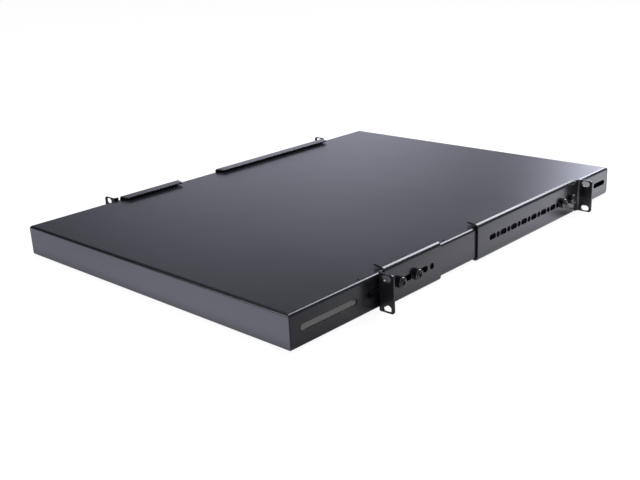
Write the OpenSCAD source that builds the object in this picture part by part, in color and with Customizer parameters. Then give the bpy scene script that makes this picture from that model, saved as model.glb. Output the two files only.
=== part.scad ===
// Adjustable rack shelf, one rack unit high.
// A folded sheet-steel shelf pan hangs in four bent brackets, two at the front and two at the
// rear. Each bracket is a channel that wraps the side of the pan and ends in a turned-out ear for
// the rack post. The brackets slide along the pan to suit the depth of the rack, and are clamped
// by screws and nuts that run in long slots in the sides of the pan.
// Millimetres. X runs across the rack, -Y is the front, Z is up. The origin is on the ground
// under the middle of the shelf.

/* [Rack] */
// Width of the shelf over its ears, for a 19 inch or a 23 inch rack
rack_w = 482.6; // [482.6, 584.2]
// Height of one rack unit
rack_h = 44.45; // [44.3:0.05:44.6]
// Height that the shelf leaves free in its unit
rack_gap = 0.85; // [0.5:0.05:1.2]
// Distance from the last post hole of one unit to the first of the next
rack_hole_gap = 12.7; // [12.5:0.1:13]

/* [Shelf pan] */
// Depth of the pan, front to rear
shelf_d = 610; // [600:1:660]
// Thickness of the pan's sheet
sheet_t = 1.5; // [1:0.1:2]
// Outer radius of the pan's bends
pan_bend_r = 3.5; // [2.5:0.1:4]
// Outer radius of the bend under the rear wall
rear_hem_r = 6; // [4:0.5:8]
// Width of the flanges that turn in under the walls
return_w = 16; // [12:0.5:22]
// Width of the open seams between neighbouring walls
seam_w = 0.6; // [0.4:0.1:1]
// Diameter of the small holes in the top that the pan hangs by while it is coated
hang_hole_d = 3; // [2:0.5:4]
// Distance from the side of the pan to the middle of those holes
hang_hole_in = 5.5; // [5:0.5:8]
// Distance from the front of the pan to the first pair of them
first_hang_hole = 101; // [95:0.5:110]
// Distance from the front of the pan to the second pair
second_hang_hole = 242; // [235:0.5:250]

/* [Slots in the pan's sides] */
// Height of the row of slots above the underside of the pan
slot_up = 19; // [16:0.5:20]
// Distance from the front of the pan to its first slot
first_slot_in = 15; // [10:0.5:18]
// Length of the first slot
first_slot_len = 78; // [70:0.5:80]
// Width of the web between the first two slots
front_web = 15; // [13:0.5:20]
// Length of the second slot, which the front brackets run in
second_slot_len = 111; // [109:0.5:114]
// Plain length between the second slot and the third, which the rear brackets run in
middle_web = 90; // [86:0.5:98]
// Distance from the rear of the pan to its last slot
last_slot_in = 8; // [7:0.5:12]
// Length of the last slot
last_slot_len = 30; // [26:0.5:32]
// Width of the web in front of the last slot
rear_web = 2.5; // [2:0.5:5]

/* [Brackets] */
// Thickness of the bracket plate
plate_t = 2; // [1.6:0.1:2.2]
// Outer radius of the brackets' bends
bracket_bend_r = 4.5; // [3.6:0.1:5]
// Width of the top and bottom flanges
flange_w = 17; // [12:0.5:22]
// How far the ends of the flanges taper back
flange_taper = 3; // [1:0.5:6]
// Distance from an ear's outer face to the start of the flanges
flange_start = 10; // [9:0.5:12]
// Width of the notch that frees the ear from the flanges
relief_w = 3; // [2:0.5:4]
// Depth of that notch past the bend of the flange
relief_down = 1; // [0.5:0.5:3]
// Length of the front brackets
front_bracket_len = 104; // [101:0.5:110]
// Length of the rear brackets
rear_bracket_len = 230; // [227:0.5:245]
// Distance from the front of the pan to the ears of the front brackets
front_ear_in = 123; // [119:0.5:128]
// Space between the free ends of the front and rear brackets, as assembled
bracket_space = 70; // [68:0.1:90]

/* [Ears] */
// How far the ears stand out past the sides of the pan
ear_reach = 21.3; // [20:0.1:24]
// How much lower an ear is than the bracket's flange
ear_step = 1.2; // [0.8:0.1:2]
// Radius of an ear's outer corners
ear_corner_r = 3.5; // [2:0.5:5]
// Distance from an ear's outer edge to the middle of its mounting holes
ear_hole_in = 8.75; // [8.5:0.05:9]
// Length of a mounting hole, across the rack
ear_slot_len = 10.5; // [9:0.5:11]
// Height of a mounting hole
ear_slot_h = 6.8; // [6.4:0.1:7]

/* [Hole row of the brackets] */
// Distance from one round hole to the next in a front bracket
front_row_pitch = 27.5; // [24:0.5:30]
// Distance from one slot to the next in a rear bracket
rear_row_pitch = 22.5; // [21:0.1:23]
// Length of the slots between the holes
row_slot_len = 13; // [10:0.5:13.5]
// From the free end of a front bracket to its first hole
front_row_in = 16; // [12:0.5:20]
// From the free end of a rear bracket to its first slot
rear_row_in = 30; // [24:0.5:32]
// Least distance from an ear's outer face to the first hole or slot behind it
row_clear = 16; // [14:0.5:17]

/* [Fasteners] */
// Diameter of the clamping screws
screw_d = 6; // [5:0.1:6]
// Length of a screw under its head
screw_len = 16; // [15:1:20]
// Diameter of a screw's pan head
head_d = 12; // [11:0.1:13]
// Height of a screw's pan head
head_h = 4.6; // [4:0.1:5]
// Outer diameter of a washer
washer_d = 12.5; // [11.5:0.1:14]
// Thickness of a washer
washer_t = 1.6; // [1:0.1:2]
// Width of a nut across its flats
nut_af = 10; // [9:0.1:11]
// Height of a nut
nut_h = 5; // [4:0.1:6]

/* [Stiffeners] */
// Depth of a stiffener below the top sheet
hat_h = 16; // [10:0.5:20]
// Width of a stiffener's crown
hat_crown = 32; // [24:1:50]
// Width of each flange that is welded to the top sheet
hat_flange = 15; // [12:0.5:20]
// Thickness of a stiffener's sheet
hat_t = 1.2; // [1:0.1:1.6]
// Outer radius of a stiffener's bends
hat_bend_r = 2.4; // [2:0.1:3]
// Space between a stiffener's end and the side wall
hat_end_gap = 26; // [22:1:60]
// Number of spot welds along each flange
weld_count = 7; // [3:1:11]
// Diameter of the dent that a spot weld leaves
weld_d = 5; // [3:0.5:6]
// Depth of that dent
weld_dent = 0.3; // [0.1:0.1:0.5]

/* [Clearances] */
// Running gap between a bracket and the side or the underside of the pan
slide_gap = 0.3; // [0.2:0.05:0.5]
// Free height between the top sheet and the brackets' top flanges
top_gap = 2.1; // [1:0.1:3]
// Space round a screw in the slots and holes that it passes, across the diameter
screw_gap = 0.6; // [0.4:0.1:1]
// Space round a screw in its nut and washers, across the diameter
bore_gap = 0.2; // [0.1:0.05:0.4]

/* [Colours] */
// Colour of the powder-coated sheet
coat_colour = "DimGray"; // [DimGray, SlateGray, Black]
// Colour of the screws, washers and nuts
screw_colour = "Black"; // [Black, Silver, Gray]

/* [Hidden] */
$fn = 48;

// Overrun of every cut past the face that it opens
over = 1;

// Overall sizes that the rack sets
shelf_w = rack_w - 2 * ear_reach;
bracket_h = rack_h - rack_gap;
shelf_h = bracket_h - 2 * plate_t - slide_gap - top_gap;
rack_hole_across = rack_w - 2 * ear_hole_in;
rack_hole_up = rack_h - rack_hole_gap;

// Pan
pan_z = plate_t + slide_gap;
pan_front_y = -shelf_d / 2;
pan_rear_y = shelf_d / 2;
slot_z = pan_z + slot_up;
top_under_z = pan_z + shelf_h - sheet_t;
hang_holes_y = [pan_front_y + first_hang_hole, pan_front_y + second_hang_hole];
slot_h = screw_d + screw_gap;

// Brackets, on the right-hand side
bracket_mid_z = bracket_h / 2;
ear_h = bracket_h - 2 * ear_step;
web_in_x = shelf_w / 2 + slide_gap;
web_out_x = web_in_x + plate_t;
bracket_inner_r = bracket_bend_r - plate_t;
ear_root_x = web_in_x + bracket_bend_r;
flange_tip_x = web_out_x - flange_w;
flange_root_x = web_out_x - bracket_bend_r;
relief_z = bracket_mid_z - bracket_bend_r - relief_down;
front_ear_y = pan_front_y + front_ear_in;
rear_ear_y = front_ear_y + front_bracket_len + bracket_space + rear_bracket_len;

// Holes, slots and screws of a bracket, measured back from its ear's outer face
front_run = front_bracket_len - front_row_in;
rear_run = rear_bracket_len - rear_row_in;
front_holes = 1 + floor((front_run - row_clear) / front_row_pitch);
rear_slots = 1 + floor((rear_run - row_clear) / rear_row_pitch);
front_holes_in = [for (i = [0:front_holes - 1]) front_run - i * front_row_pitch];
front_slots_in = [for (i = [0:front_holes - 2]) front_holes_in[i] - front_row_pitch / 2];
rear_slots_in = [for (i = [0:rear_slots - 1]) rear_run - i * rear_row_pitch];
rear_holes_in = [for (i = [0:rear_slots - 2]) rear_slots_in[i] - rear_row_pitch / 2];
front_screws_in = [front_holes_in[front_holes - 1], front_holes_in[front_holes - 2]];
rear_screws_in = [rear_slots_in[rear_slots - 1], rear_slots_in[rear_slots - 2]];

// Slots in the pan's sides, each from its front end to its rear end
first_slot_y = pan_front_y + first_slot_in;
second_slot_y = first_slot_y + first_slot_len + front_web;
last_slot_y = pan_rear_y - last_slot_in - last_slot_len;
side_slots = [
    [first_slot_y, first_slot_y + first_slot_len],
    [second_slot_y, second_slot_y + second_slot_len],
    [second_slot_y + second_slot_len + middle_web, last_slot_y - rear_web],
    [last_slot_y, last_slot_y + last_slot_len]
];

// Fasteners, from the outside of the bracket to the inside of the pan
head_x = web_out_x + washer_t;
inner_washer_x = shelf_w / 2 - sheet_t - slide_gap - washer_t;
nut_x = inner_washer_x - nut_h;
bore_d = screw_d + bore_gap;

// Screw head and its cross recess, as shares of the head's size
head_rim_share = 0.5;
recess_depth_share = 0.55;
recess_arm_share = 0.27;
recess_foot_share = 0.1;
recess_w_share = 0.11;
crown_steps = 8;
tip_share = 0.15;

// Nut: chamfer of its corners, as a share of its height
nut_chamfer_share = 0.12;

// Stiffeners, with their places as shares of the pan's depth
hat_len = shelf_w - 2 * sheet_t - 2 * hat_end_gap;
hat_inner_r = hat_bend_r - hat_t;
hat_place_shares = [-0.29, 0, 0.29];

// What the outer corner of a bend takes off a square corner at the origin
module corner_waste(r) {
    difference() {
        translate([-over, -over]) square(r + over);
        translate([r, r]) circle(r);
    }
}

// Rectangle with round corners, centred on the origin
module round_rect(w, h, r) {
    difference() {
        square([w, h], center = true);
        for (sx = [0, 1], sy = [0, 1])
            mirror([sx, 0]) mirror([0, sy]) translate([-w / 2, -h / 2]) corner_waste(r);
    }
}

// Slot with round ends, centred on the origin
module slot_2d(length, height) {
    square([length - height, height], center = true);
    for (s = [-1, 1]) translate([s * (length - height) / 2, 0]) circle(height / 2);
}

// Stands a flat outline up in the plane across the part, and carries it along Y
module along_y(length) {
    rotate([90, 0, 0]) linear_extrude(height = length, center = true) children();
}

// Stands a flat outline up in the plane front to rear, and carries it along X
module along_x(length) {
    rotate([90, 0, 90]) linear_extrude(height = length, center = true) children();
}

// Block of the pan's outer form, drawn in by the inset on every face
module pan_block(inset) {
    w = shelf_w - 2 * inset;
    d = shelf_d - 2 * inset;
    h = shelf_h - 2 * inset;
    r = pan_bend_r - inset;
    translate([0, 0, pan_z + shelf_h / 2])
        intersection() {
            along_y(d + 2 * over) round_rect(w, h, r);
            along_x(w + 2 * over)
                difference() {
                    round_rect(d, h, r);
                    translate([d / 2, -h / 2]) mirror([1, 0]) corner_waste(rear_hem_r - inset);
                }
        }
}

// Opening between the return flanges, and the notches where two of them would meet
module pan_underside() {
    open_w = shelf_w - 2 * return_w;
    open_d = shelf_d - 2 * return_w;
    notch = return_w - pan_bend_r + over;
    floor_t = sheet_t + 2 * over;
    translate([0, 0, pan_z + sheet_t / 2]) {
        cube([open_w, open_d, floor_t], center = true);
        for (sx = [-1, 1], sy = [-1, 1])
            translate([
                sx * (open_w / 2 - over + notch / 2),
                sy * (open_d / 2 - over + notch / 2),
                0
            ])
                cube([notch, notch, floor_t], center = true);
    }
}

// Open seams where the side walls stop short of the front and rear walls
module pan_seams() {
    seam_h = shelf_h - pan_bend_r - rear_hem_r;
    for (sx = [-1, 1], sy = [-1, 1])
        translate([
            sx * (shelf_w / 2 - sheet_t / 2),
            sy * (shelf_d / 2 - sheet_t - seam_w / 2),
            pan_z + rear_hem_r + seam_h / 2
        ])
            cube([sheet_t + 2 * over, seam_w, seam_h], center = true);
}

// Long slots in both side walls
module pan_slots() {
    for (sx = [-1, 1], s = side_slots)
        translate([sx * (shelf_w / 2 - sheet_t / 2), (s[0] + s[1]) / 2, slot_z])
            along_x(sheet_t + 2 * over) slot_2d(s[1] - s[0], slot_h);
}

// Small round holes through the top sheet, near both of its side edges
module hang_holes() {
    for (sx = [-1, 1], y = hang_holes_y)
        translate([sx * (shelf_w / 2 - hang_hole_in), y, top_under_z - over])
            cylinder(h = sheet_t + 2 * over, d = hang_hole_d);
}

// The folded sheet: top, four walls and the flanges under them
module shelf_pan() {
    color(coat_colour)
        difference() {
            pan_block(0);
            pan_block(sheet_t);
            pan_underside();
            pan_seams();
            pan_slots();
            hang_holes();
        }
}

// Half of a stiffener's hat section: half the crown, one wall and one flange
module hat_half() {
    wall_h = hat_h - 2 * hat_bend_r;
    half_w = hat_crown / 2;
    bend_x = half_w + hat_inner_r;
    translate([0, -hat_h]) square([half_w - hat_bend_r, hat_t]);
    translate([half_w - hat_bend_r, hat_bend_r - hat_h]) quarter_bend(hat_bend_r, hat_t, 1, -1);
    translate([half_w - hat_t, hat_bend_r - hat_h]) square([hat_t, wall_h]);
    translate([bend_x, -hat_bend_r]) quarter_bend(hat_bend_r, hat_t, -1, 1);
    translate([bend_x, -hat_t]) square([hat_flange - hat_bend_r, hat_t]);
}

// Quarter of a bend about the origin, on the side that the two signs name
module quarter_bend(r, t, sx, sy) {
    intersection() {
        difference() {
            circle(r);
            circle(r - t);
        }
        translate([sx * r, sy * r]) square(2 * r, center = true);
    }
}

// Hat-section channel, welded across the underside of the top sheet
module stiffener(place) {
    flange_mid = hat_crown / 2 + hat_flange / 2;
    weld_pitch = hat_len / weld_count;
    color(coat_colour)
        translate([0, place * shelf_d, top_under_z])
            difference() {
                along_x(hat_len) {
                    hat_half();
                    mirror([1, 0]) hat_half();
                }
                for (i = [0:weld_count - 1], s = [-1, 1])
                    translate([
                        (i - (weld_count - 1) / 2) * weld_pitch,
                        s * flange_mid,
                        -hat_t - over
                    ])
                        cylinder(h = over + weld_dent, d = weld_d);
            }
}

// Moves a right-hand front fitting to one of the four corners, with Y measured from the ear
module at_corner(front, right) {
    translate([0, front ? front_ear_y : rear_ear_y, 0])
        mirror([0, front ? 0 : 1, 0])
            mirror([right ? 0 : 1, 0, 0])
                children();
}

// Channel section of a bracket: the web and the two flanges that wrap the pan
module channel_2d() {
    translate([flange_tip_x, bracket_mid_z])
        difference() {
            round_rect(2 * flange_w, bracket_h, bracket_bend_r);
            round_rect(2 * (flange_w - plate_t), bracket_h - 2 * plate_t, bracket_inner_r);
            translate([-flange_w - over, -bracket_mid_z - over])
                square([flange_w + over, bracket_h + 2 * over]);
        }
}

// Cuts that taper both ends of the flanges in plan
module flange_tapers(length) {
    far_x = flange_tip_x - over;
    run_share = (flange_root_x - far_x) / (flange_root_x - flange_tip_x);
    back = flange_taper * run_share;
    translate([0, 0, -over])
        linear_extrude(height = bracket_h + 2 * over) {
            polygon([
                [flange_root_x, flange_start],
                [flange_root_x, flange_start - over],
                [far_x, flange_start - over],
                [far_x, flange_start + back]
            ]);
            polygon([
                [flange_root_x, length],
                [far_x, length - back],
                [far_x, length + over],
                [flange_root_x, length + over]
            ]);
        }
}

// Ear plate with its two mounting slots, up to the bend
module ear() {
    ear_w = rack_w / 2 - ear_root_x;
    translate([0, plate_t / 2, bracket_mid_z])
        along_y(plate_t)
            difference() {
                translate([ear_root_x, -ear_h / 2]) square([ear_w, ear_h]);
                for (s = [0, 1])
                    mirror([0, s])
                        translate([rack_w / 2, -ear_h / 2])
                            mirror([1, 0]) corner_waste(ear_corner_r);
                for (s = [-1, 1])
                    translate([rack_hole_across / 2, s * rack_hole_up / 2])
                        slot_2d(ear_slot_len, ear_slot_h);
            }
}

// Bend and strip of web that carry the ear
module ear_root() {
    translate([ear_root_x, bracket_bend_r, bracket_mid_z])
        linear_extrude(height = ear_h, center = true)
            quarter_bend(bracket_bend_r, plate_t, -1, -1);
    translate([web_in_x, bracket_bend_r, ear_step])
        cube([plate_t, flange_start - bracket_bend_r, ear_h]);
}

// Notches above and below that part the ear from the flanges
module reliefs() {
    notch_h = bracket_mid_z - relief_z + over;
    for (s = [-1, 1])
        translate([
            web_in_x + plate_t / 2,
            flange_start - relief_w / 2,
            bracket_mid_z + s * (relief_z + notch_h / 2)
        ])
            cube([plate_t + 2 * over, relief_w, notch_h], center = true);
}

// Row of round holes and slots along the web
module hole_row(holes_in, slots_in) {
    translate([web_in_x + plate_t / 2, 0, slot_z]) {
        for (y = holes_in)
            translate([0, y, 0]) along_x(plate_t + 2 * over) circle(slot_h / 2);
        for (y = slots_in)
            translate([0, y, 0]) along_x(plate_t + 2 * over) slot_2d(row_slot_len, slot_h);
    }
}

// Whole bracket, as the right-hand front one
module bracket(length, holes_in, slots_in) {
    run = length - flange_start;
    color(coat_colour)
        difference() {
            union() {
                translate([0, flange_start + run / 2, 0]) along_y(run) channel_2d();
                ear_root();
                ear();
            }
            flange_tapers(length);
            reliefs();
            hole_row(holes_in, slots_in);
        }
}

// Puts a fitting, drawn upwards from the floor, on a screw's line at each place
module on_screw_lines(x, screws_in) {
    for (y = screws_in) translate([x, y, slot_z]) rotate([0, 90, 0]) children();
}

// One arm of the cross recess, cut down from the crown
module recess_arm() {
    arm = head_d * recess_arm_share;
    foot = head_d * recess_foot_share;
    depth = head_h * recess_depth_share;
    translate([0, 0, head_h])
        along_y(head_d * recess_w_share)
            polygon([[-arm, over], [-arm, 0], [-foot, -depth], [foot, -depth], [arm, 0], [arm, over]]);
}

// Pan-head screw with its head's seat on the floor and its shank below
module screw() {
    rim = head_h * head_rim_share;
    tip = screw_d * tip_share;
    crown = [
        for (i = [0:crown_steps])
            let (a = 90 * i / crown_steps)
                [head_d / 2 * cos(a), rim + (head_h - rim) * sin(a)]
    ];
    difference() {
        rotate_extrude() polygon(concat([[0, 0], [head_d / 2, 0]], crown));
        recess_arm();
        rotate([0, 0, 90]) recess_arm();
    }
    translate([0, 0, tip - screw_len]) cylinder(h = screw_len - tip, d = screw_d);
    translate([0, 0, -screw_len]) cylinder(h = tip, d1 = screw_d - 2 * tip, d2 = screw_d);
}

// Flat washer on the floor
module washer() {
    difference() {
        cylinder(h = washer_t, d = washer_d);
        translate([0, 0, -over]) cylinder(h = washer_t + 2 * over, d = bore_d);
    }
}

// Hexagon nut on the floor, with its corners chamfered at both faces
module nut() {
    corner_r = nut_af / 2 / cos(30);
    chamfer = nut_h * nut_chamfer_share;
    face_r = corner_r - chamfer / tan(30);
    difference() {
        intersection() {
            cylinder(h = nut_h, r = corner_r, $fn = 6);
            union() {
                cylinder(h = chamfer, r1 = face_r, r2 = corner_r);
                translate([0, 0, chamfer]) cylinder(h = nut_h - 2 * chamfer, r = corner_r);
                translate([0, 0, nut_h - chamfer]) cylinder(h = chamfer, r1 = corner_r, r2 = face_r);
            }
        }
        translate([0, 0, -over]) cylinder(h = nut_h + 2 * over, d = bore_d);
    }
}

// The fittings of one corner
module corner_bracket(front, right) {
    at_corner(front, right)
        if (front) bracket(front_bracket_len, front_holes_in, front_slots_in);
        else bracket(rear_bracket_len, rear_holes_in, rear_slots_in);
}

module corner_screws(front, right) {
    color(screw_colour)
        at_corner(front, right)
            on_screw_lines(head_x, front ? front_screws_in : rear_screws_in) screw();
}

module corner_washers(front, right) {
    color(screw_colour)
        at_corner(front, right)
            on_screw_lines(web_out_x, front ? front_screws_in : rear_screws_in) washer();
}

module corner_inner_washers(front, right) {
    color(screw_colour)
        at_corner(front, right)
            on_screw_lines(inner_washer_x, front ? front_screws_in : rear_screws_in) washer();
}

module corner_nuts(front, right) {
    color(screw_colour)
        at_corner(front, right)
            on_screw_lines(nut_x, front ? front_screws_in : rear_screws_in) nut();
}

shelf_pan();
stiffener(hat_place_shares[0]);  // front_stiffener
stiffener(hat_place_shares[1]);  // middle_stiffener
stiffener(hat_place_shares[2]);  // rear_stiffener
corner_bracket(true, true);  // front_right_bracket
corner_bracket(true, false);  // front_left_bracket
corner_bracket(false, true);  // rear_right_bracket
corner_bracket(false, false);  // rear_left_bracket
corner_screws(true, true);  // front_right_screws
corner_screws(true, false);  // front_left_screws
corner_screws(false, true);  // rear_right_screws
corner_screws(false, false);  // rear_left_screws
corner_washers(true, true);  // front_right_washers
corner_washers(true, false);  // front_left_washers
corner_washers(false, true);  // rear_right_washers
corner_washers(false, false);  // rear_left_washers
corner_inner_washers(true, true);  // front_right_inner_washers
corner_inner_washers(true, false);  // front_left_inner_washers
corner_inner_washers(false, true);  // rear_right_inner_washers
corner_inner_washers(false, false);  // rear_left_inner_washers
corner_nuts(true, true);  // front_right_nuts
corner_nuts(true, false);  // front_left_nuts
corner_nuts(false, true);  // rear_right_nuts
corner_nuts(false, false);  // rear_left_nuts
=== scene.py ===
"""Adjustable rack shelf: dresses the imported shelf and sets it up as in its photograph.

The sheet-metal nodes get rounded cut edges and a powder-coat finish. The fasteners are replaced by
finer ones: pan-head screws with a rolled thread and a cross recess, washers and threaded nuts.
Everything is in metres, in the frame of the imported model: +X across the rack, -Y the front, +Z up.
"""

import logging
import math
from collections.abc import Mapping, Sequence
from dataclasses import dataclass, field
from enum import Enum

import bmesh
import bpy
import numpy as np
from mathutils import Matrix, Vector


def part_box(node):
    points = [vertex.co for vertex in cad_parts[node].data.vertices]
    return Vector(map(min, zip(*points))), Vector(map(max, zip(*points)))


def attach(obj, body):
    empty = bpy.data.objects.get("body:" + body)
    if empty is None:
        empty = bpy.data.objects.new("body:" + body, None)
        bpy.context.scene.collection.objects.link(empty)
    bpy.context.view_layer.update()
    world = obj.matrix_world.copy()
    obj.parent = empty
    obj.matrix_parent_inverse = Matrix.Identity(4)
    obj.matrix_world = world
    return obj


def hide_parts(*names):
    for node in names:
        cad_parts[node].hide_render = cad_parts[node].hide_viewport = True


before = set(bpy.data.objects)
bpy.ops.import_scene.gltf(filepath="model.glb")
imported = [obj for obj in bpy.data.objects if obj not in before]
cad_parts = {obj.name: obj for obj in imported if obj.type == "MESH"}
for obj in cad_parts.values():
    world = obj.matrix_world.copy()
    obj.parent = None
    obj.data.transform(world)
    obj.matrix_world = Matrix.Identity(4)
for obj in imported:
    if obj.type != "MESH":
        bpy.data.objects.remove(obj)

LOG = logging.getLogger("rack_shelf")
MM = 0.001
WEAR_AND_HIGHLIGHT = "worn"
WELD = 0.001 * MM
Colour = tuple[float, float, float]
Triple = tuple[float, float, float]


class Body(Enum):
    """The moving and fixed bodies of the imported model."""

    SHELF = "shelf"
    FRONT_RIGHT = "front_right"
    FRONT_LEFT = "front_left"
    REAR_RIGHT = "rear_right"
    REAR_LEFT = "rear_left"

    @property
    def side(self) -> int:
        """1 on the right-hand side, -1 on the left-hand side, 0 for the shelf itself."""
        return {"right": 1, "left": -1}.get(self.value.rsplit("_", maxsplit=1)[-1], 0)

    def node(self, kind: str) -> str:
        """Name of this corner's CAD node of one kind."""
        return f"{self.value}_{kind}"


CORNERS = (Body.FRONT_RIGHT, Body.FRONT_LEFT, Body.REAR_RIGHT, Body.REAR_LEFT)


class Layer(Enum):
    """Where a washer sits on its screw, and the kind of its CAD node."""

    OUTER = "washers"
    INNER = "inner_washers"


# Shader building


class Value:
    """A number that comes out of a node, written in plain sums and products."""

    def __init__(self, shader: "Shader", socket: bpy.types.NodeSocket) -> None:
        """Keeps the node tree's builder and the socket."""
        self.shader = shader
        self.socket = socket

    def maths(self, operation: str, *others: "float | Value") -> "Value":
        """Adds one Math node.

        Args:
            operation: The node's operation.
            others: The values of its other sockets.

        Returns:
            The node's result.
        """
        inputs = dict(enumerate((self, *others)))
        made = self.shader.node("ShaderNodeMath", {"operation": operation}, inputs)
        return Value(self.shader, made.outputs[0])

    def swapped(self, operation: str, other: float) -> "Value":
        """Adds one Math node with a plain number as its first value."""
        made = self.shader.node("ShaderNodeMath", {"operation": operation}, {0: other, 1: self})
        return Value(self.shader, made.outputs[0])

    def __add__(self, other: "float | Value") -> "Value":
        """Sum."""
        return self.maths("ADD", other)

    def __radd__(self, other: float) -> "Value":
        """Sum with a plain number first."""
        return self.swapped("ADD", other)

    def __sub__(self, other: "float | Value") -> "Value":
        """Difference."""
        return self.maths("SUBTRACT", other)

    def __rsub__(self, other: float) -> "Value":
        """Difference with a plain number first, such as 1 - mask."""
        return self.swapped("SUBTRACT", other)

    def __mul__(self, other: "float | Value") -> "Value":
        """Product."""
        return self.maths("MULTIPLY", other)

    def __rmul__(self, other: float) -> "Value":
        """Product with a plain number first."""
        return self.swapped("MULTIPLY", other)

    def __truediv__(self, other: "float | Value") -> "Value":
        """Quotient."""
        return self.maths("DIVIDE", other)

    def __abs__(self) -> "Value":
        """Size without its sign."""
        return self.maths("ABSOLUTE")

    def least(self, other: "float | Value") -> "Value":
        """The lesser of two values."""
        return self.maths("MINIMUM", other)

    def most(self, other: "float | Value") -> "Value":
        """The greater of two values."""
        return self.maths("MAXIMUM", other)

    def step(self, start: float, end: float) -> "Value":
        """Smooth step.

        Args:
            start: Where the result is 0.
            end: Where the result is 1.

        Returns:
            A value from 0 to 1 with level ends.
        """
        made = self.shader.node(
            "ShaderNodeMapRange",
            {"interpolation_type": "SMOOTHSTEP", "clamp": True},
            {0: self, 1: start, 2: end, 3: 0.0, 4: 1.0},
        )
        return Value(self.shader, made.outputs[0])


class Shader:
    """Builds the nodes of one material or world."""

    def __init__(self, tree: bpy.types.NodeTree) -> None:
        """Empties the tree."""
        self.tree = tree
        tree.nodes.clear()

    def node(
        self,
        kind: str,
        settings: Mapping[str, object] | None = None,
        inputs: Mapping[int | str, object] | None = None,
    ) -> bpy.types.Node:
        """Adds any node.

        Args:
            kind: The node's type.
            settings: Its settings, with "stops" for a ramp's positions and colours.
            inputs: Values or links of its sockets, by number or name.

        Returns:
            The node.
        """
        made = self.tree.nodes.new(kind)
        for name, value in (settings or {}).items():
            if name == "stops":
                ramp = made.color_ramp.elements
                for place, (where, colour) in enumerate(value):
                    stop = ramp[place] if place < len(ramp) else ramp.new(where)
                    stop.position, stop.color = where, (*colour, 1.0)
            else:
                setattr(made, name, value)
        for name, value in (inputs or {}).items():
            if isinstance(value, Value):
                self.tree.links.new(value.socket, made.inputs[name])
            elif isinstance(value, bpy.types.NodeSocket):
                self.tree.links.new(value, made.inputs[name])
            else:
                made.inputs[name].default_value = value
        return made

    def place(self) -> bpy.types.NodeSocket:
        """Object coordinates, in metres."""
        return self.node("ShaderNodeTexCoord").outputs["Object"]

    def ray(self, kind: str) -> Value:
        """1 for rays of a kind, such as Camera or Glossy, else 0."""
        return Value(self, self.node("ShaderNodeLightPath").outputs[f"Is {kind} Ray"])

    def axes(self, vector: bpy.types.NodeSocket) -> tuple[Value, Value, Value]:
        """The three parts of a vector."""
        made = self.node("ShaderNodeSeparateXYZ", {}, {0: vector})
        return tuple(Value(self, out) for out in made.outputs)

    def stretched(self, vector: bpy.types.NodeSocket, scale: Triple) -> bpy.types.NodeSocket:
        """A vector scaled along each axis."""
        made = self.node("ShaderNodeVectorMath", {"operation": "MULTIPLY"}, {0: vector, 1: scale})
        return made.outputs[0]

    def noise(
        self, vector: bpy.types.NodeSocket, scale: float, detail: float = 2.0, rough: float = 0.5
    ) -> Value:
        """Cloudy noise.

        Args:
            vector: Where to read it.
            scale: Spots to a metre.
            detail: Octaves of finer noise.
            rough: Strength of the finer noise.

        Returns:
            A value round 0.5.
        """
        made = self.node(
            "ShaderNodeTexNoise",
            {"noise_dimensions": "3D"},
            {"Vector": vector, "Scale": scale, "Detail": detail, "Roughness": rough},
        )
        return Value(self, made.outputs[0])

    def blend(self, share: Value, first: object, second: object) -> bpy.types.NodeSocket:
        """A colour between two, by a share from 0 to 1."""
        ready = [(*c, 1.0) if isinstance(c, tuple) else c for c in (first, second)]
        made = self.node(
            "ShaderNodeMix", {"data_type": "RGBA"}, {0: share, 6: ready[0], 7: ready[1]}
        )
        return made.outputs[2]

    def bump(self, height: Value, metres: float, under: object = None) -> bpy.types.NodeSocket:
        """A bumped normal.

        Args:
            height: The relief, from 0 to 1.
            metres: Height of the relief at 1.
            under: A normal that the relief is laid on.

        Returns:
            The normal.
        """
        inputs: dict[int | str, object] = {"Strength": 1.0, "Distance": metres, "Height": height}
        if under is not None:
            inputs["Normal"] = under
        return self.node("ShaderNodeBump", {}, inputs).outputs["Normal"]

    def surface(self, result: bpy.types.NodeSocket, kind: str = "Material") -> None:
        """Links a shader to the output."""
        self.node(f"ShaderNodeOutput{kind}", {}, {"Surface": result})


def new_material(name: str) -> tuple[bpy.types.Material, Shader]:
    """A new material and the builder of its nodes."""
    material = bpy.data.materials.new(name)
    material.use_nodes = True
    return material, Shader(material.node_tree)


def linked(name: str, data: bpy.types.ID) -> bpy.types.Object:
    """A new object with some data, in the scene."""
    made = bpy.data.objects.new(name, data)
    bpy.context.scene.collection.objects.link(made)
    return made


def second_least(one: Value, two: Value, three: Value) -> Value:
    """The middle one of three distances: how far a point on a box is from the nearest edge."""
    return one.least(two).most(one.most(two).least(three))


# Finishes


@dataclass(frozen=True)
class BoxEdges:
    """Edges of a folded box, where the coat is handled and rubbed.

    Attributes:
        half: Half the box's size along each axis, in metres.
        middle: Its middle on the right-hand side, in metres. The left-hand side mirrors it.
    """

    half: Triple
    middle: Triple

    @staticmethod
    def between(low: Vector, high: Vector) -> "BoxEdges":
        """Edges of the box between two corners."""
        return BoxEdges(tuple((high - low) / 2), tuple((high + low) / 2))

    def distance(self, shader: Shader, place: bpy.types.NodeSocket) -> Value:
        """Distance from the box's nearest edge, along its faces.

        Args:
            shader: The material's builder.
            place: Object coordinates.

        Returns:
            The distance in metres: the middle one of the distances inward from the box's faces.
        """
        x, y, z = shader.axes(place)
        inward = [abs(v - m) for v, m in zip((abs(x), y, z), self.middle)]
        return second_least(*(h - v for h, v in zip(self.half, inward)))


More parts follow.
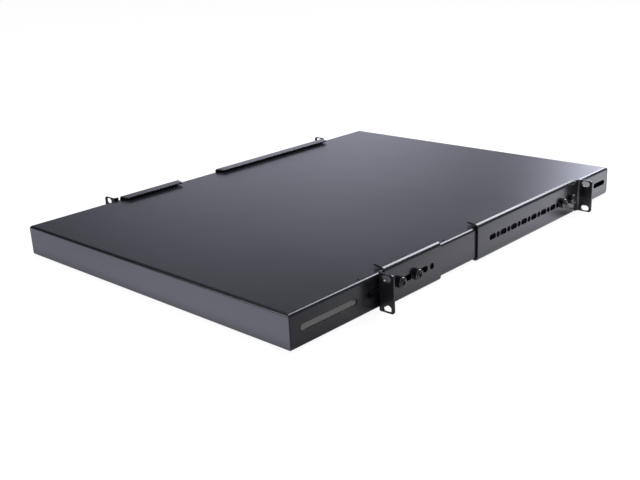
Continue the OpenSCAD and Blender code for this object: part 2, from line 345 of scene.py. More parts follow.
@dataclass(frozen=True)
class PowderCoat:
    """Black semi-gloss powder coat on steel sheet.

    Attributes:
        colour: Colour of the clean coat.
        top_tone: Colour of the coat in clouds on up-facing faces: a faint dusting on most pieces,
            much paler on the left-hand brackets.
        speck: Colour of its finest speckles.
        rubbed: Colour where edges and fasteners have polished it thin.
        roughness: Mean roughness.
        refraction: Its index of refraction, which sets how strongly it mirrors.
        peel: Size of the orange peel's cells, in metres.
        peel_height: Height of the orange peel, in metres.
        waves: Size of the sheet's slow waves, in metres.
        wave_height: Height of those waves, in metres.
        worn_rim: Distances from an edge within which all of the coat is worn, and none of it.
        worn_depth: Depth of the worn places, in metres.
        wall: Distances from the middle plane between which the side's flat face begins.
    """

    colour: Colour = (0.011, 0.011, 0.014)
    top_tone: Colour = (0.018, 0.018, 0.022)
    speck: Colour = (0.018, 0.018, 0.022)
    rubbed: Colour = (0.06, 0.06, 0.065)
    roughness: float = 0.25
    refraction: float = 1.65
    peel: float = 1.2 * MM
    peel_height: float = 0.002 * MM
    waves: float = 90.0 * MM
    wave_height: float = 0.04 * MM
    worn_rim: tuple[float, float] = (0.4 * MM, 3.0 * MM)
    worn_depth: float = 0.008 * MM
    wall: tuple[float, float] = (0.2199, 0.2200)

    def wear(
        self,
        shader: Shader,
        place: bpy.types.NodeSocket,
        edges: BoxEdges,
        rubs: tuple[float, float] | None,
    ) -> Value:
        """Where the coat is worn.

        Args:
            shader: The material's builder.
            place: Object coordinates.
            edges: Where the piece's outer edges are.
            rubs: Height and half-width of the band that the fasteners rub, in metres.

        Returns:
            A value from 0 to 1: chips along the edges, and fine lines along the band.
        """
        near = 1.0 - edges.distance(shader, place).step(*self.worn_rim)
        chips = shader.noise(place, 120.0, detail=5.0, rough=0.65).step(0.66, 0.80)
        worn = near * chips
        if rubs is not None:
            height, half = rubs
            across, _, up = shader.axes(place)
            band = 1.0 - abs(up - height).step(0.6 * half, half)
            along = shader.stretched(place, (60.0, 5.0, 1400.0))
            lines = shader.noise(along, 1.0, detail=3.0, rough=0.6).step(0.62, 0.76)
            worn = worn.most(0.4 * band * lines * abs(across).step(*self.wall))
        return worn

    def relief(
        self, shader: Shader, place: bpy.types.NodeSocket, wear: Value
    ) -> bpy.types.NodeSocket:
        """The coat's relief.

        Args:
            shader: The material's builder.
            place: Object coordinates.
            wear: Where the coat is worn.

        Returns:
            The normal: slow waves of the sheet, the orange peel on them, less the worn places.
        """
        cells = shader.node(
            "ShaderNodeTexVoronoi",
            {"feature": "SMOOTH_F1"},
            {"Vector": place, "Scale": 1.0 / self.peel, "Smoothness": 0.9},
        )
        peel = 1.0 - Value(shader, cells.outputs["Distance"])
        slow = shader.noise(place, 1.0 / self.waves, detail=1.0, rough=0.4)
        normal = shader.bump(slow, self.wave_height)
        normal = shader.bump(peel, self.peel_height, normal)
        return shader.bump(1.0 - wear, self.worn_depth, normal)

    def material(
        self, name: str, edges: BoxEdges, rubs: tuple[float, float] | None = None
    ) -> bpy.types.Material:
        """Builds the coat.

        Args:
            name: The material's name.
            edges: Where the piece's outer edges are.
            rubs: Height and half-width of the band that the fasteners rub, in metres.

        Returns:
            The material.
        """
        material, shader = new_material(name)
        place = shader.place()
        facing = shader.axes(shader.node("ShaderNodeNewGeometry").outputs["Normal"])[2]

        cloud = shader.noise(place, 9.0, detail=1.0, rough=0.4)
        smudge = shader.noise(place, 31.0, detail=2.0, rough=0.5)
        speckle = shader.noise(place, 2600.0, detail=1.0, rough=0.5)
        # Clouds on up-facing faces: a faint dusting on most pieces, much paler tops on the left-hand
        # brackets.
        top_clouds = cloud.step(0.35, 0.8) * facing.step(0.2, 0.9)
        wear = self.wear(shader, place, edges, rubs)

        tone = shader.blend(top_clouds, self.colour, self.top_tone)
        tone = shader.blend(speckle.step(0.62, 0.80) * 0.08, tone, self.speck)
        tone = shader.blend(wear * 0.4, tone, self.rubbed)
        # Cycles' denoiser treats gloss of more than 0.273 apart, so this stays below that.
        gloss = self.roughness + (smudge - 0.5) * 0.04 + top_clouds * 0.01 - wear * 0.06

        coat = shader.node(
            "ShaderNodeBsdfPrincipled",
            {},
            {
                "Base Color": tone,
                "Roughness": gloss,
                "Normal": self.relief(shader, place, wear),
                "IOR": self.refraction,
            },
        )
        shader.surface(coat.outputs[0])
        return material


@dataclass(frozen=True)
class BlackZinc:
    """Black zinc on a turned or rolled steel fastener.

    Attributes:
        colour: Colour of the plating.
        cloudy: Colour of its paler clouds.
        bare: Colour where a driver or a spanner has rubbed through to the steel; on a screw
            head's shoulder it makes a ring that is partly wear and partly a painted highlight.
        roughness: Mean roughness.
        metal: How metallic the plating is.
        refraction: Its index of refraction.
        grain_height: Height of the turning marks, in metres.
    """

    colour: Colour = (0.014, 0.014, 0.016)
    cloudy: Colour = (0.026, 0.026, 0.030)
    bare: Colour = (0.26, 0.25, 0.24)
    roughness: float = 0.27
    metal: float = 0.25
    refraction: float = 1.6
    grain_height: float = 0.004 * MM

    def material(self, name: str, worn_from: float, worn_to: float) -> bpy.types.Material:
        """Builds the plating.

        Args:
            name: The material's name.
            worn_from: Distance from the shelf's middle plane where rubbing starts, in metres.
            worn_to: Distance where it is strongest.

        Returns:
            The material.
        """
        material, shader = new_material(name)
        place = shader.place()
        across = abs(shader.axes(place)[0])
        cloud = shader.noise(place, 260.0, detail=3.0, rough=0.6)
        marks = shader.stretched(place, (9000.0, 1500.0, 1500.0))
        grain = shader.noise(marks, 1.0, detail=2.0, rough=0.6)
        scuff = shader.noise(place, 1500.0, detail=4.0, rough=0.7)
        worn = shader.node("ShaderNodeAttribute", {"attribute_name": WEAR_AND_HIGHLIGHT})
        edges = Value(shader, worn.outputs["Fac"])
        wear = scuff.step(0.58, 0.72) * across.step(worn_from, worn_to)
        # The worn attribute: bare steel along the recess's mouth, and on the head's shoulder a ring
        # that is partly wear and partly a painted highlight.
        wear = wear.most(edges * (0.45 + 0.55 * scuff.step(0.35, 0.60)))
        tone = shader.blend(cloud.step(0.3, 0.7) * 0.5, self.colour, self.cloudy)
        tone = shader.blend(wear * 0.8, tone, self.bare)
        finish = shader.node(
            "ShaderNodeBsdfPrincipled",
            {},
            {
                "Base Color": tone,
                "Metallic": self.metal + wear * 0.5,
                "Roughness": self.roughness + (grain - 0.5) * 0.18 + (cloud - 0.5) * 0.12,
                "Normal": shader.bump(grain, self.grain_height),
                "IOR": self.refraction,
            },
        )
        shader.surface(finish.outputs[0])
        return material


# Meshes


@dataclass
class Patch:
    """Points and faces of one or more surfaces.

    Attributes:
        points: Positions, one to a row.
        faces: Corner numbers of the four-sided faces, one face to a row.
        worn: How worn each point is, from 0 to 1.
    """

    points: np.ndarray
    faces: np.ndarray
    worn: np.ndarray

    @staticmethod
    def of_grid(grid: np.ndarray, worn: np.ndarray | float = 0.0) -> "Patch":
        """Makes a patch from a grid whose columns close on themselves.

        Args:
            grid: Positions with the shape (rows, columns, 3).
            worn: How worn the grid's points are, of the shape (rows, columns) or alike all over.

        Returns:
            The patch: face (i, j) joins rows i and i + 1 and columns j and j + 1, the last column
            being joined to the first.
        """
        rows, columns = grid.shape[:2]
        row, column = np.meshgrid(np.arange(rows - 1), np.arange(columns), indexing="ij")
        after = (column + 1) % columns
        corners = [row * columns + column, row * columns + after]
        corners += [(row + 1) * columns + after, (row + 1) * columns + column]
        worn = np.broadcast_to(worn, (rows, columns)).reshape(-1)
        return Patch(grid.reshape(-1, 3), np.stack(corners, -1).reshape(-1, 4), worn)

    def moved(self, turn: float, side: int, start: Triple) -> "Patch":
        """Lays a patch that was drawn upwards along the screw's line.

        Args:
            turn: Angle that it is turned about its own axis.
            side: 1 for the right-hand side, -1 for the left-hand side.
            start: Where its foot goes on the right-hand side, with Y as it is on its own side.

        Returns:
            The patch: its height runs outward along X, and the left-hand side is the right-hand one
            turned half round about the upright, so a thread keeps its hand.
        """
        x, y, z = self.points.T
        u = x * math.cos(turn) - y * math.sin(turn)
        v = x * math.sin(turn) + y * math.cos(turn)
        place = [side * (start[0] + z), start[1] + side * v, start[2] - u]
        return Patch(np.stack(place, 1), self.faces, self.worn)

    @staticmethod
    def joined(patches: Sequence["Patch"]) -> "Patch":
        """Puts several patches in one."""
        starts = np.cumsum([0, *(len(p.points) for p in patches[:-1])])
        faces = [p.faces + s for p, s in zip(patches, starts)]
        points, worn = (np.concatenate(v) for v in zip(*((p.points, p.worn) for p in patches)))
        return Patch(points, np.concatenate(faces), worn)

    def piece(self, name: str, material: bpy.types.Material, sharp: float) -> bpy.types.Object:
        """Makes the patch an object with closed seams and outward faces.

        Args:
            name: The object's name.
            material: Its finish.
            sharp: Angle in degrees past which an edge stays sharp.

        Returns:
            The object, at the origin.
        """
        mesh = bpy.data.meshes.new(name)
        mesh.from_pydata(self.points.tolist(), [], self.faces.tolist())
        mesh.attributes.new(WEAR_AND_HIGHLIGHT, "FLOAT", "POINT").data.foreach_set("value", self.worn)
        work = bmesh.new()
        work.from_mesh(mesh)
        bmesh.ops.remove_doubles(work, verts=work.verts, dist=2.0 * WELD)
        bmesh.ops.dissolve_degenerate(work, edges=work.edges, dist=0.1 * WELD)
        bmesh.ops.recalc_face_normals(work, faces=work.faces)
        work.to_mesh(mesh)
        work.free()
        mesh.shade_smooth()
        mesh.set_sharp_from_angle(angle=math.radians(sharp))
        mesh.materials.append(material)
        return linked(name, mesh)


def round_grid(radius: np.ndarray, height: np.ndarray, columns: int) -> np.ndarray:
    """Carries a profile round the upright.

    Args:
        radius: Radius of each profile point, or of each point and column.
        height: Height of each profile point, or of each point and column.
        columns: Number of columns in one turn.

    Returns:
        A grid of (radius cos a, radius sin a, height), with a even steps round the turn.
    """
    angle = np.linspace(0.0, 2.0 * np.pi, columns, endpoint=False)
    radius = np.asarray(radius, float)
    height = np.asarray(height, float)
    radius = radius[:, None] if radius.ndim == 1 else radius
    height = height[:, None] if height.ndim == 1 else height
    radius, height = np.broadcast_arrays(radius, height + 0.0 * angle)
    return np.stack([radius * np.cos(angle), radius * np.sin(angle), height], -1)


def smooth(value: np.ndarray) -> np.ndarray:
    """Smooth step of an array: 3 v v - 2 v v v, with v held between 0 and 1."""
    held = np.clip(value, 0.0, 1.0)
    return held * held * (3.0 - 2.0 * held)


def saw(value: np.ndarray) -> np.ndarray:
    """Triangle wave: 0 at whole numbers, 1 half-way between them."""
    return 1.0 - np.abs(2.0 * (value - np.floor(value)) - 1.0)


def screw_lines(node: str) -> list[tuple[float, float]]:
    """Finds the lines of a corner's two screws.

    Args:
        node: A CAD node of that corner's screws, washers or nuts.

    Returns:
        Y and Z of both lines, from front to rear. Each solid is as wide along Y as the node is
        high, so the lines lie half that height in from the node's two ends.
    """
    low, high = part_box(node)
    half = (high.z - low.z) / 2
    middle = (high.z + low.z) / 2
    if node.endswith("nuts"):
        half *= math.cos(math.pi / 6)
    return [(low.y + half, middle), (high.y - half, middle)]


def finished(piece: bpy.types.Object, body: Body, node: str) -> bpy.types.Object:
    """Puts a new piece on its body in place of a CAD node.

    Args:
        piece: The new piece.
        body: The body that it rides on.
        node: The node that it stands for.

    Returns:
        The piece.
    """
    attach(piece, body.value)
    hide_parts(node)
    LOG.info("%s rides on %s with %d faces", piece.name, body.value, len(piece.data.polygons))
    return piece


@dataclass
class Fasteners:
    """The two fasteners of one kind that hold a corner's bracket.

    Attributes:
        corner: The bracket.
        kind: Kind of their CAD node.
        turns: Angle of each about its own axis, in degrees.
        sharp: Angle in degrees past which their edges stay sharp.
    """

    corner: Body
    kind: str
    turns: tuple[float, float] = (0.0, 0.0)
    sharp: float = 40.0

    def shape(self) -> Patch:
        """One fastener, drawn upwards."""
        raise NotImplementedError

    def reach(self, low: Vector, high: Vector) -> float:
        """How far out its drawing starts, from the CAD node's box: at the box's inner end."""
        return min(abs(low.x), abs(high.x))

    def build(self, material: bpy.types.Material) -> bpy.types.Object:
        """Makes both fasteners and puts them in the places of the CAD ones.

        Args:
            material: The plating.

        Returns:
            The piece.
        """
        node = self.corner.node(self.kind)
        low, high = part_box(node)
        reach, shape = self.reach(low, high), self.shape()
        both = [
            shape.moved(math.radians(turn), self.corner.side, (reach, y, z))
            for turn, (y, z) in zip(self.turns, screw_lines(node))
        ]
        piece = Patch.joined(both).piece(f"{node}_fine", material, self.sharp)
        return finished(piece, self.corner, node)


@dataclass
class Screws(Fasteners):
    """Clamping screws, whose turns are those of the recess.

    Attributes:
        shank: Radius of the shank.
        length: Length under the head.
        head: Radius of the head.
        depth: Height of the head.
        rim: Height of the head's straight rim.
        pitch: Pitch of the thread.
        cut: Depth of the thread.
        arm: Half-length of the recess's arms at its mouth.
        foot: Half-length of the arms at its floor.
        slit: Half-width of an arm.
        recess: Depth of the recess.
        below: How far the head's top stays below the CAD one's.
    """

    kind: str = "screws"
    shank: float = 3.0 * MM
    length: float = 16.0 * MM
    head: float = 6.0 * MM
    depth: float = 4.55 * MM
    rim: float = 1.9 * MM
    pitch: float = 1.0 * MM
    cut: float = 0.55 * MM
    arm: float = 3.4 * MM
    foot: float = 1.2 * MM
    slit: float = 0.80 * MM
    recess: float = 2.5 * MM
    below: float = 0.01 * MM

    def crown(self) -> Patch:
        """Head from its seat over the rim to its middle.

        Returns:
            The surface. The seat and the rim are a round profile. Over them the height at radius r
            is rim + (depth - rim) (1 - (r / head)^3)^(1/3), less the cross recess: for each of the
            two arms a ramp from foot to arm along it, times a smooth wall across it, and the deeper
            of the two counts. It is worn on its shoulder, by exp(-((r - 0.95 head) / 0.35 mm)^2), a
            bare ring that is partly wear and partly a painted highlight, and along the mouth of the
            recess, where the cut is a small share of its depth.
        """
        columns = 96
        under = np.array([self.shank * 0.9, self.head - 0.5 * MM, self.head - 0.15 * MM, self.head])
        level = np.array([0.0, 0.0, 0.08 * MM, 0.4 * MM])
        angle = np.linspace(0.0, 0.5 * np.pi, 15)[1:]
        recess_ring = self.arm * 1.12
        outer = self.head * np.cos(angle)
        outer = outer[outer > recess_ring]
        inner = np.linspace(recess_ring, 0.0, 34)
        radius = np.concatenate([under, [self.head], outer, inner])
        top = self.rim + (self.depth - self.rim) * np.cbrt(
            np.clip(1.0 - (radius / self.head) ** 3, 0.0, 1.0)
        )
        height = np.concatenate([level, top[len(level):]])
        grid = round_grid(radius, height, columns)
        x, y = np.abs(grid[..., 0]), np.abs(grid[..., 1])
        soft = 0.14 * MM

        def arm_depth(along: np.ndarray, across: np.ndarray) -> np.ndarray:
            """Depth of one arm: its ramp along it times its wall across it."""
            ramp = np.clip((self.arm - along) / (self.arm - self.foot), 0.0, 1.0)
            return self.recess * ramp * smooth((self.slit - across) / soft + 0.5)

        cut = np.maximum(arm_depth(x, y), arm_depth(y, x))
        inside = np.arange(len(radius)) >= len(level) + 1
        grid[..., 2] -= cut * inside[:, None]
        # A bare ring on the shoulder: partly wear, partly a painted highlight.
        shoulder = np.exp(-(((radius - 0.95 * self.head) / (0.35 * MM)) ** 2)) * inside
        share = cut / self.recess
        mouth = smooth(share / 0.04) * smooth(1.0 - share / 0.5) * inside[:, None]
        return Patch.of_grid(grid, np.clip(shoulder[:, None] + mouth, 0.0, 1.0))

    def stem(self) -> Patch:
        """Threaded shank down to its chamfered tip.

        Returns:
            The surface: the radius is the shank's less the cut times a triangle wave of
            height / pitch - angle / turn, so that its crests wind up the shank. It draws in to a
            cone at the tip and closes in the middle of the end.
        """
        rows, columns = 112, 28
        height = np.linspace(0.0, -self.length, rows)[:, None]
        angle = np.linspace(0.0, 1.0, columns, endpoint=False)[None, :]
        wave = np.clip(1.35 * saw(height / self.pitch - angle) - 0.15, 0.0, 1.0)
        fade = smooth(-height / (1.2 * MM))
        radius = self.shank - self.cut * wave * fade
        tip = np.clip((height + self.length) / (0.9 * MM), 0.0, 1.0)
        radius = np.minimum(radius, self.shank * (0.70 + 0.30 * tip))
        lengthwise = height + 0.0 * angle
        end = np.full((2, columns), -self.length)
        closing = np.stack([np.full(columns, self.shank * 0.35), np.zeros(columns)])
        radius = np.concatenate([radius, closing])
        lengthwise = np.concatenate([lengthwise, end])
        return Patch.of_grid(round_grid(radius, lengthwise, columns))

    def shape(self) -> Patch:
        """One screw, from its head down to its tip."""
        return Patch.joined([self.crown(), self.stem()])

    def reach(self, low: Vector, high: Vector) -> float:
        """How far out the head's seat lies, from the outer end of the CAD node's box."""
        return max(abs(low.x), abs(high.x)) - self.depth - self.below


@dataclass
class Washers(Fasteners):
    """Flat washers, under the screw heads or inside the pan's wall.

    Attributes:
        outer: Outer radius.
        inner: Radius of the bore.
        thick: Thickness.
        edge: Radius of the rounded edges.
    """

    sharp: float = 60.0
    outer: float = 6.25 * MM
    inner: float = 3.1 * MM
    thick: float = 1.6 * MM
    edge: float = 0.28 * MM

    def shape(self) -> Patch:
        """One washer.

        Returns:
            The surface: a rectangle with quarter-round corners, carried round the upright.
        """
        columns = 56
        bend = np.linspace(0.0, 0.5 * np.pi, 5)
        out, top = self.outer - self.edge, self.thick - self.edge
        inn, low = self.inner + self.edge, self.edge
        corners = [
            (out + self.edge * np.sin(bend), low - self.edge * np.cos(bend)),
            (out + self.edge * np.cos(bend), top + self.edge * np.sin(bend)),
            (inn - self.edge * np.sin(bend), top + self.edge * np.cos(bend)),
            (inn - self.edge * np.cos(bend), low - self.edge * np.sin(bend)),
        ]
        radius = np.concatenate([c[0] for c in corners])
        height = np.concatenate([c[1] for c in corners])
        radius, height = np.append(radius, radius[0]), np.append(height, height[0])
        return Patch.of_grid(round_grid(radius, height, columns))


@dataclass
class Nuts(Fasteners):
    """Hexagon nuts.

    Attributes:
        flats: Half the width across the flats.
        thick: Height.
        bore: Radius of the bore at the thread's crests.
        pitch: Pitch of the thread.
        cut: Depth of the thread.
        chamfer: Height of the chamfer that rounds the corners.
    """

    kind: str = "nuts"
    sharp: float = 30.0
    flats: float = 5.0 * MM
    thick: float = 5.0 * MM
    bore: float = 2.95 * MM
    pitch: float = 1.0 * MM
    cut: float = 0.35 * MM
    chamfer: float = 0.6 * MM

    def shape(self) -> Patch:
        """One nut.

        Returns:
            The surface. Outside, the radius is the lesser of the hexagon's, flats / cos(a) with a
            the angle from the nearest flat's middle, and the chamfer cone's at that height. Inside,
            it is the bore's with a triangle wave of height / pitch - angle / turn cut into it.
        """
        columns = 96
        turn = np.linspace(0.0, 1.0, columns, endpoint=False)[None, :]
        from_flat = (turn * 6.0 - np.floor(turn * 6.0) - 0.5) * np.pi / 3.0
        hexagon = self.flats / np.cos(from_flat)
        corner = self.flats / math.cos(math.pi / 6.0)
        rise = np.array([0.0, 0.08, 0.16, 0.24, 0.36, 0.48, 0.60]) * MM
        height = np.concatenate([rise, [self.thick / 2], (self.thick - rise)[::-1]])[:, None]
        into = np.minimum(height, self.thick - height)
        cone = corner - np.clip(self.chamfer - into, 0.0, None) / math.tan(math.radians(30.0))
        outside = np.minimum(hexagon, cone)
        inner_height = np.linspace(self.thick, 0.0, 42)[:, None]
        wave = np.clip(1.3 * saw(inner_height / self.pitch - turn) - 0.15, 0.0, 1.0)
        mouth = np.clip(np.minimum(inner_height, self.thick - inner_height) / (0.5 * MM), 0.0, 1.0)
        inside = self.bore + self.cut * np.maximum(wave, 1.0 - mouth)
        radius = np.concatenate([outside, inside, outside[:1]])
        heights = np.concatenate([height, inner_height, height[:1]]) + 0.0 * turn
        return Patch.of_grid(round_grid(radius, heights, columns))


# Sheet metal


def rounded_sheet(
    node: str, body: Body, material: bpy.types.Material, edge: float
) -> bpy.types.Object:
    """Makes a folded sheet with rounded cut edges in place of a CAD node.

    Args:
        node: The node's name.
        body: The body that it rides on.
        material: Its finish.
        edge: Width of the rounding, in metres.

    Returns:
        The piece: a copy of the node with its triangles merged and its level faces joined, and
        with a bevel on each edge of more than 40 degrees. Every other edge is a fold's, and stays
        smooth. The normals follow the larger faces, so that flat sheet shades flat up to its folds.
    """
    work = bmesh.new()
    work.from_mesh(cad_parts[node].data)
    bmesh.ops.remove_doubles(work, verts=work.verts, dist=WELD)
    level, sharpest_fold = math.radians(0.3), math.radians(40.0)
    bmesh.ops.dissolve_limit(work, angle_limit=level, verts=work.verts, edges=work.edges)
    mesh = bpy.data.meshes.new(f"{node}_sheet")
    work.to_mesh(mesh)
    work.free()
    mesh.shade_smooth()
    mesh.materials.append(material)
    piece = linked(mesh.name, mesh)
    bevel = piece.modifiers.new("cut_edges", "BEVEL")
    bevel.width, bevel.segments = edge, 3
    bevel.limit_method, bevel.angle_limit = "ANGLE", sharpest_fold
    bevel.use_clamp_overlap = False
    level_faces = piece.modifiers.new("level_faces", "WEIGHTED_NORMAL")
    level_faces.mode, level_faces.weight, level_faces.thresh = "FACE_AREA", 100, 0.01
    return finished(piece, body, node)


@dataclass
class ShelfPan:
    """The folded pan and the stiffeners under it.

    Attributes:
        coat: The finish.
        stiffeners: Names of the stiffeners' nodes.
        slot_height: Height of the row of slots in its sides.
        rub: Half-width of the band that the washers rub.
        edge: Rounding of the pan's cut edges.
        thin_edge: Rounding of the stiffeners' cut edges.
    """

    coat: PowderCoat
    stiffeners: tuple[str, ...] = ("front_stiffener", "middle_stiffener", "rear_stiffener")
    slot_height: float = 21.3 * MM
    rub: float = 7.5 * MM
    edge: float = 0.15 * MM
    thin_edge: float = 0.15 * MM

    def build(self) -> None:
        """Makes the pan and its stiffeners."""
        low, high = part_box("shelf_pan")
        edges = BoxEdges.between(low, high)
        coat = self.coat.material("pan_coat", edges, (self.slot_height, self.rub))
        rounded_sheet("shelf_pan", Body.SHELF, coat, self.edge)
        for name in self.stiffeners:
            low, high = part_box(name)
            coat = self.coat.material(f"{name}_coat", BoxEdges.between(low, high))
            rounded_sheet(name, Body.SHELF, coat, self.thin_edge)


@dataclass
class Bracket:
    """One bent bracket.

    Attributes:
        corner: Its corner.
        coat: The finish.
        slot_height: Height of its row of holes.
        rub: Half-width of the band that the washers rub.
        ear_reach: How far the ear stands out past the web.
        edge: Rounding of its cut edges.
    """

    corner: Body
    coat: PowderCoat
    slot_height: float = 21.3 * MM
    rub: float = 7.0 * MM
    ear_reach: float = 19.0 * MM
    edge: float = 0.35 * MM

    def build(self) -> None:
        """Makes the bracket. Its worn edges are those of the channel, without the ear."""
        node = self.corner.node("bracket")
        low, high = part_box(node)
        inner = min(abs(low.x), abs(high.x))
        outer = max(abs(low.x), abs(high.x)) - self.ear_reach
        edges = BoxEdges.between(Vector((inner, *low.yz)), Vector((outer, *high.yz)))
        coat = self.coat.material(f"{node}_coat", edges, (self.slot_height, self.rub))
        rounded_sheet(node, self.corner, coat, self.edge)


# Studio


@dataclass(frozen=True)
class SoftBox:
    """A soft lamp.

    Attributes:
        name: Its name.
        place: Where it stands, in metres.
        aim: What it points at.
        size: Its width and height.
        watts: Its power.
        colour: Its colour.
    """

    name: str
    place: Triple
    aim: Triple
    size: tuple[float, float]
    watts: float
    colour: Colour = (1.0, 1.0, 1.0)

    def build(self) -> bpy.types.Object:
        """Makes the lamp.

        Returns:
            The lamp's object.
        """
        lamp = bpy.data.lights.new(self.name, "AREA")
        lamp.shape = "RECTANGLE"
        lamp.size, lamp.size_y = self.size
        lamp.energy = self.watts
        lamp.color = self.colour
        made = linked(self.name, lamp)
        made.location = self.place
        aim = Vector(self.aim) - Vector(self.place)
        made.rotation_mode = "QUATERNION"
        made.rotation_quaternion = aim.to_track_quat("-Z", "Y")
        LOG.info("%s gives %.0f W", self.name, self.watts)
        return made


LAMPS = (
    SoftBox("top_box", (-0.6, -0.7, 2.3), aim=(0.0, 0.0, 0.0), size=(1.6, 1.6), watts=10.0),
    SoftBox(
        "rear_box",
        (0.2, 1.5, 1.45),
        aim=(0.2, 0.0, 0.0),
        size=(1.4, 1.2),
        watts=43.0,
        colour=(0.90, 0.92, 1.0),
    ),
    SoftBox("front_box", (-1.2, -2.4, 0.9), aim=(0.0, 0.0, 0.0), size=(1.4, 1.0), watts=14.0),
)


@dataclass
class Studio:
    """Pale floor, white background and soft lamps.

    Attributes:
        lamps: The soft lamps.
        floor_half: Half the floor's width.
        floor_down: How far the floor lies below the object.
        floor_tone: How light the floor is.
        open_share: Share of the background's white in what the camera sees of the open floor.
        white: Brightness of the open floor to the camera, a little over white.
        sheen: Painted reflection colour: the floor's colour in gloss.
        front_sheen: Painted reflection colour in gloss of the floor in front of the pan.
        under: Half the width and depth of the floor under the pan, which stays plain.
        ear_root: How far out the ears' roots are.
        ears: Where the front and rear ears stand along the pan, as the floor's reflection has
            painted shade beside them.
        room: Strength of the room's plain light.
        shade: Strength of the room in gloss, by how far round it lies: the sine of the angle from
            the rear, with the left-hand side negative, and more to the right the higher it is.
        shade_lean: How much further to the right the shade is read for each unit of height.
        shade_level: Height at which the shade is read where it is.
        wall_top: Share of the shade that stays high up.
        wall_foot: What is added to that share low down.
        wall_fall: Heights between which that addition fades.
    """

    lamps: tuple[SoftBox, ...]
    floor_half: float = 14.0
    floor_down: float = 0.0003
    floor_tone: float = 0.80
    open_share: float = 0.80
    white: float = 1.17
    sheen: Colour = (1.14, 1.15, 1.26)
    front_sheen: Colour = (1.22, 1.22, 1.50)
    under: tuple[float, float] = (0.210, 0.295)
    ear_root: float = 0.235
    ears: tuple[float, float] = (-0.170, 0.205)
    room: float = 0.28
    shade: tuple[tuple[float, float], ...] = (
        (-1.0, 0.03),
        (-0.90, 0.05),
        (-0.82, 0.20),
        (-0.75, 0.21),
        (-0.68, 0.26),
        (-0.62, 0.20),
        (-0.56, 0.11),
        (-0.51, 0.04),
        (-0.47, 0.52),
        (-0.43, 1.60),
        (-0.36, 1.90),
        (-0.28, 0.80),
        (0.0, 0.12),
        (0.4, 0.04),
        (1.0, 0.03),
    )
    shade_lean: float = 0.5
    shade_level: float = 0.26
    wall_top: float = 0.22
    wall_foot: float = 4.9
    wall_fall: tuple[float, float] = (0.147, 0.400)

    def seen(self, shader: Shader) -> Value:
        """1 for rays from the camera, from gloss and through glass, else 0."""
        return shader.ray("Camera").most(shader.ray("Glossy")).most(shader.ray("Transmission"))

    def from_ear(self, x: Value, y: Value, along: float) -> Value:
        """Distance from a pair of ears.

        Args:
            x: Place across the rack.
            y: Place along the pan.
            along: Where the ears stand along it.

        Returns:
            The distance from the nearer one's root on the floor, in metres.
        """
        across, length = abs(x) - self.ear_root, y - along
        return (across * across + length * length).maths("SQRT")

    def painted_reflection(self, x: Value, y: Value, before: Value) -> Value:
        """Painted reflection: how bright the open floor is in gloss, set place by place.

        Args:
            x: Place across the rack.
            y: Place along the pan.
            before: 1 in front of the pan, 0 beside it and behind it.

        Returns:
            The brightness, a painted reflection. Before the pan it rises to the right. Beside the
            pan it rises to the rear, with painted shade by the pan's wall, round the ears' roots and
            far out.
        """
        front = 0.78 + 0.55 * x.step(-0.3, 0.2)
        to_rear = 0.30 + 0.66 * y.step(-0.30, 0.04) + 0.88 * y.step(0.0, 0.4)
        # Painted shade in the floor's reflection: dimmer by the pan's wall, round the ears' roots
        # and far out.
        painted_wall_shade = 0.68 + 0.32 * abs(x).step(0.216, 0.246)
        ahead, behind = (self.from_ear(x, y, along) for along in self.ears)
        painted_ear_shade = 0.15 + 0.85 * ahead.least(behind).step(0.0, 0.032)
        painted_far_shade = 1.0 - 0.85 * abs(x).step(0.285, 0.340)
        beside = to_rear * painted_wall_shade * painted_ear_shade * painted_far_shade
        return beside + before * (front - beside)

    def floor(self) -> None:
        """Lays the floor, whose open part shows mostly as the white background."""
        half = self.floor_half
        corners = np.array([[-half, -half], [half, -half], [half, half], [-half, half]])
        points = np.column_stack([corners, np.full(4, -self.floor_down)])
        mesh = bpy.data.meshes.new("floor")
        mesh.from_pydata(points.tolist(), [], [(0, 1, 2, 3)])
        made = linked("floor", mesh)
        material, shader = new_material("floor_paper")
        x, y, _ = shader.axes(shader.place())
        fade = 4.0 * MM
        out_x, out_y = (abs(v).step(edge - fade, edge) for v, edge in zip((x, y), self.under))
        clear = out_x.most(out_y)
        # Painted light: a little of the white glows on the floor under the pan's front, where its
        # front slots show it.
        painted_slot_glow = 0.11 * (1.0 - y.step(-0.180, -0.168))
        glossy = shader.ray("Glossy")
        before = 1.0 - y.step(-0.33, -0.29)
        # Painted reflection: in gloss the open floor glows by a map of painted light and shade,
        # tinted blue.
        strength = 1.0 + glossy * (self.painted_reflection(x, y, before) - 1.0)
        sheen = shader.blend(before, self.sheen, self.front_sheen)
        colour = shader.blend(glossy, (self.white,) * 3, sheen)
        tone = (self.floor_tone,) * 3
        paper = shader.node("ShaderNodeBsdfDiffuse", {}, {"Color": (*tone, 1.0)})
        white = shader.node("ShaderNodeEmission", {}, {"Color": colour, "Strength": strength})
        share = self.seen(shader) * clear.most(painted_slot_glow) * self.open_share
        share = share.most(glossy * clear * 0.95)
        mixed = shader.node(
            "ShaderNodeMixShader", {}, {0: share, 1: paper.outputs[0], 2: white.outputs[0]}
        )
        shader.surface(mixed.outputs[0])
        mesh.materials.append(material)

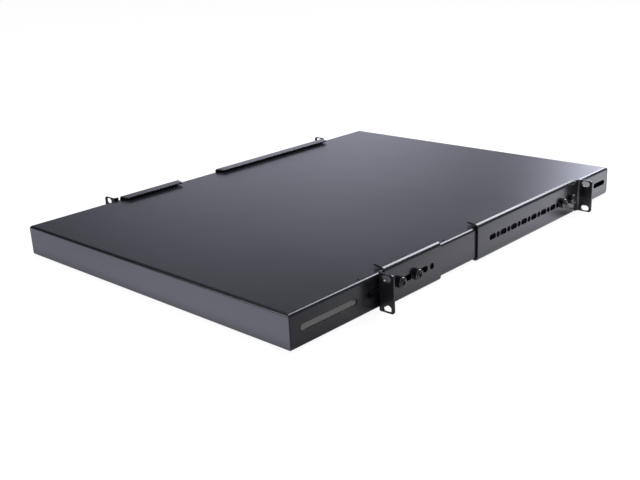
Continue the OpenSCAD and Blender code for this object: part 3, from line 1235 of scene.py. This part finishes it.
    def world(self) -> None:
        """Makes the world: white to the camera, and to gloss a room with a light rear wall."""
        world = bpy.data.worlds.new("room")
        bpy.context.scene.world = world
        world.use_nodes = True
        shader = Shader(world.node_tree)
        across, ahead, up = shader.axes(shader.node("ShaderNodeTexCoord").outputs["Generated"])
        direct, glossy = shader.ray("Camera").most(shader.ray("Transmission")), shader.ray("Glossy")
        turn = across / (across * across + ahead * ahead).maths("SQRT").most(0.001)
        turn = turn + self.shade_lean * (up - self.shade_level)
        stops = [(0.5 + 0.5 * sine, (level,) * 3) for sine, level in self.shade]
        ramp = shader.node("ShaderNodeValToRGB", {"stops": stops}, {0: 0.5 + 0.5 * turn})
        wall = Value(shader, ramp.outputs[0]) * ahead.step(-0.15, 0.25)
        height = self.wall_top + self.wall_foot * (1.0 - up.step(*self.wall_fall))
        mirror = 0.03 + wall * height
        level = glossy * mirror + (1.0 - glossy) * self.room
        level = direct + (1.0 - direct) * level
        tint = shader.blend(glossy, (1.0, 1.0, 1.0), (0.94, 0.96, 1.15))
        back = shader.node("ShaderNodeBackground", {}, {"Color": tint, "Strength": level})
        shader.surface(back.outputs[0], "World")

    def build(self) -> None:
        """Sets up the floor, the world and the lamps."""
        self.floor()
        self.world()
        for lamp in self.lamps:
            lamp.build()


@dataclass(frozen=True)
class PhotoCamera:
    """The photograph's camera, for a frame of 640 x 480.

    Attributes:
        place: Where it stands, in metres.
        azimuth: Its way round the object from the front, in degrees.
        elevation: Its height above the horizon, in degrees.
        roll: How far it leans, in degrees.
        lens: Focal length for a 36 mm sensor.
    """

    place: Triple = (0.75802, -0.81892, 0.36654)
    azimuth: float = 43.872
    elevation: float = 19.133
    roll: float = 2.831
    lens: float = 51.259

    def build(self) -> bpy.types.Object:
        """Makes the camera and makes it the scene's.

        Returns:
            The camera: its back looks along (sin a cos e, -cos a cos e, sin e), and its right and
            up are turned about that by the roll.
        """
        a, e, r = (math.radians(v) for v in (self.azimuth, self.elevation, self.roll))
        back = Vector((math.sin(a) * math.cos(e), -math.cos(a) * math.cos(e), math.sin(e)))
        level = Vector((math.cos(a), math.sin(a), 0.0))
        upright = back.cross(level)
        right = level * math.cos(r) - upright * math.sin(r)
        up = level * math.sin(r) + upright * math.cos(r)
        data = bpy.data.cameras.new("photo_camera")
        data.sensor_width, data.lens = 36.0, self.lens
        data.clip_start, data.clip_end = 0.01, 60.0
        made = linked("photo_camera", data)
        turn = Matrix((right, up, back)).transposed().to_4x4()
        made.matrix_world = Matrix.Translation(self.place) @ turn
        bpy.context.scene.camera = made
        return made


@dataclass
class RackShelf:
    """The whole shelf.

    Attributes:
        coat: Finish of the sheet metal.
        pale_top_coat: The same with much paler up-facing faces, on the left-hand brackets.
        zinc: Finish of the fasteners.
        recess_turns: Angles of the screws' recesses, by corner.
    """

    coat: PowderCoat = field(default_factory=PowderCoat)
    pale_top_coat: PowderCoat = field(default_factory=lambda: PowderCoat(top_tone=(0.070, 0.070, 0.076)))
    zinc: BlackZinc = field(default_factory=BlackZinc)
    recess_turns: Mapping[Body, tuple[float, float]] = field(
        default_factory=lambda: {
            Body.FRONT_RIGHT: (18.0, 61.0),
            Body.FRONT_LEFT: (37.0, 5.0),
            Body.REAR_RIGHT: (72.0, 30.0),
            Body.REAR_LEFT: (12.0, 50.0),
        }
    )

    def build(self) -> None:
        """Builds every piece in order."""
        ShelfPan(self.coat).build()
        heads = self.zinc.material("screw_plating", worn_from=0.2275, worn_to=0.2286)
        plain = self.zinc.material("nut_plating", worn_from=0.2120, worn_to=0.2240)
        for corner in CORNERS:
            Bracket(corner, self.coat if corner.side > 0 else self.pale_top_coat).build()
            turns = self.recess_turns[corner]
            Screws(corner, turns=turns).build(heads)
            for layer in Layer:
                Washers(corner, layer.value).build(plain)
            Nuts(corner, turns=turns).build(plain)


def main() -> None:
    """Builds the scene."""
    logging.basicConfig(level=logging.INFO, format="%(name)s: %(message)s")
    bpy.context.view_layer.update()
    PhotoCamera().build()
    Studio(LAMPS).build()
    RackShelf().build()
    view = bpy.context.scene.view_settings
    view.view_transform = "Standard"


if __name__ == "__main__":
    main()
